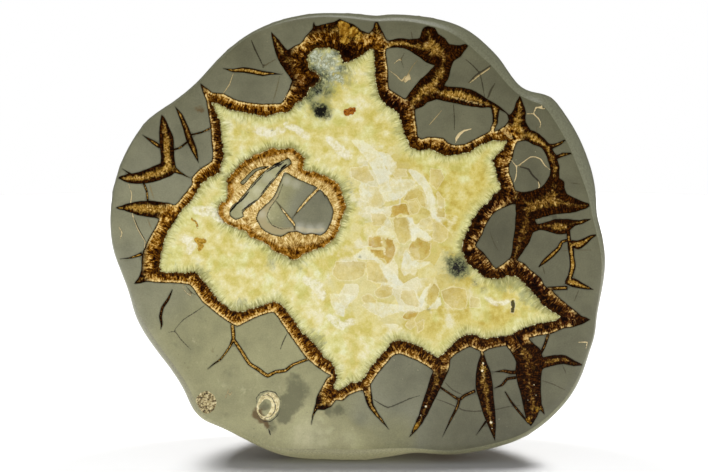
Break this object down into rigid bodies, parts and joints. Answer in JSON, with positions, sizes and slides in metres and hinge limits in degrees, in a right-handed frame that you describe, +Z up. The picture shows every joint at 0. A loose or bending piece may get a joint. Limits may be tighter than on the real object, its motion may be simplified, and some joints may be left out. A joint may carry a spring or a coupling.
{
  "type": "septarian nodule",
  "caption": "Sawn and polished septarian nodule: grey limestone cracked in a star lined with brown aragonite and filled with yellow calcite, standing on a small flat.",
  "frame": {"origin": "on the small flat that the nodule stands on, under the middle of its bounding box", "axes": "+X across the nodule, to the right as the polished face is seen; +Z up; the polished face looks along -Y and the domed back is towards +Y"},
  "size_m": [0.1662, 0.0598, 0.1509],
  "materials": {
    "limestone": "sawn and polished on the face, weathered behind"
  },
  "bodies": {
    "root": {"nodule": "limestone"}
  },
  "joints": []
}
